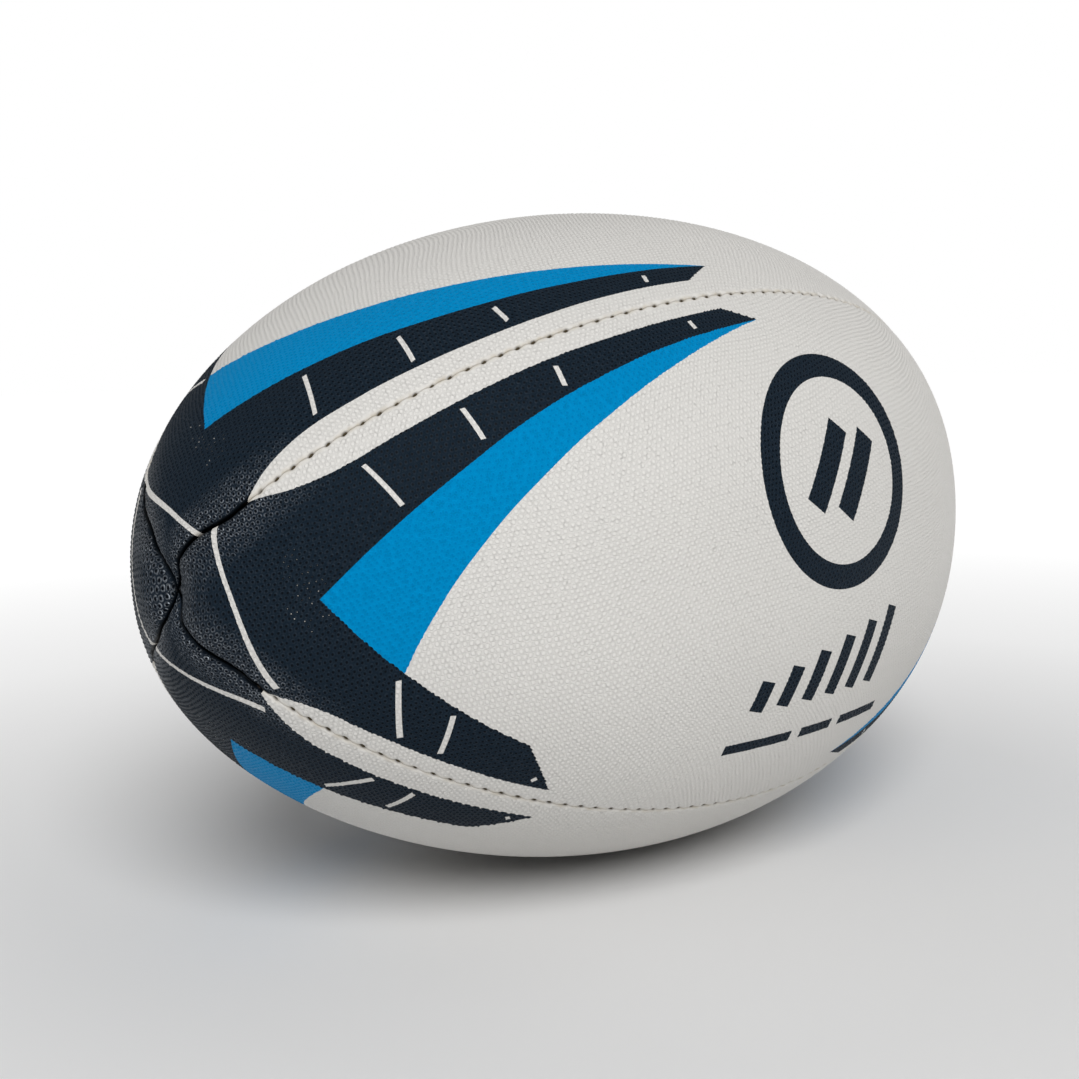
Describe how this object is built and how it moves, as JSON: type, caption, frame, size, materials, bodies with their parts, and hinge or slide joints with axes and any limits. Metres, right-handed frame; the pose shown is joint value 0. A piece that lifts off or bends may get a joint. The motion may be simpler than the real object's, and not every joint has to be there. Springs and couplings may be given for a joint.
{
  "type": "rugby ball",
  "caption": "Oval four-panel rugby ball: pimpled rubber cover on cloth plies, sewn seams drawn in at both ends, inner bladder and a needle valve in the top panel.",
  "frame": {"origin": "middle of the ball, halfway between its ends and on its long axis", "axes": "+X along the long axis, +Z out through the middle of the top panel, where the valve is, +Y away from the front panel"},
  "size_m": [0.2896, 0.182, 0.1819],
  "materials": {
    "cover_rubber": "satin",
    "outer_ply_cloth": "matte",
    "inner_ply_cloth": "matte",
    "waxed_thread": "satin",
    "bladder_rubber": "satin",
    "valve_rubber": "satin",
    "core_rubber": "satin",
    "patch_cloth": "matte"
  },
  "bodies": {
    "ball": {"cover_top": "cover_rubber", "cover_front": "cover_rubber", "cover_bottom": "cover_rubber", "cover_back": "cover_rubber", "outer_ply_top": "outer_ply_cloth", "outer_ply_front": "outer_ply_cloth", "outer_ply_bottom": "outer_ply_cloth", "outer_ply_back": "outer_ply_cloth", "inner_ply_top": "inner_ply_cloth", "inner_ply_front": "inner_ply_cloth", "inner_ply_bottom": "inner_ply_cloth", "inner_ply_back": "inner_ply_cloth", "seam_thread_top_front": "waxed_thread", "seam_thread_top_back": "waxed_thread", "seam_thread_bottom_front": "waxed_thread", "seam_thread_bottom_back": "waxed_thread", "end_stitch_left": "waxed_thread", "end_stitch_right": "waxed_thread", "bladder": "bladder_rubber", "valve_patch": "patch_cloth", "valve_sleeve": "valve_rubber"},
    "core": {"valve_core": "core_rubber"}
  },
  "joints": [
    {"name": "valve_core_slide", "type": "slide", "parent": "ball", "child": "core", "axis": [0, 0, 1], "range_m": [0, 0.017]}
  ]
}
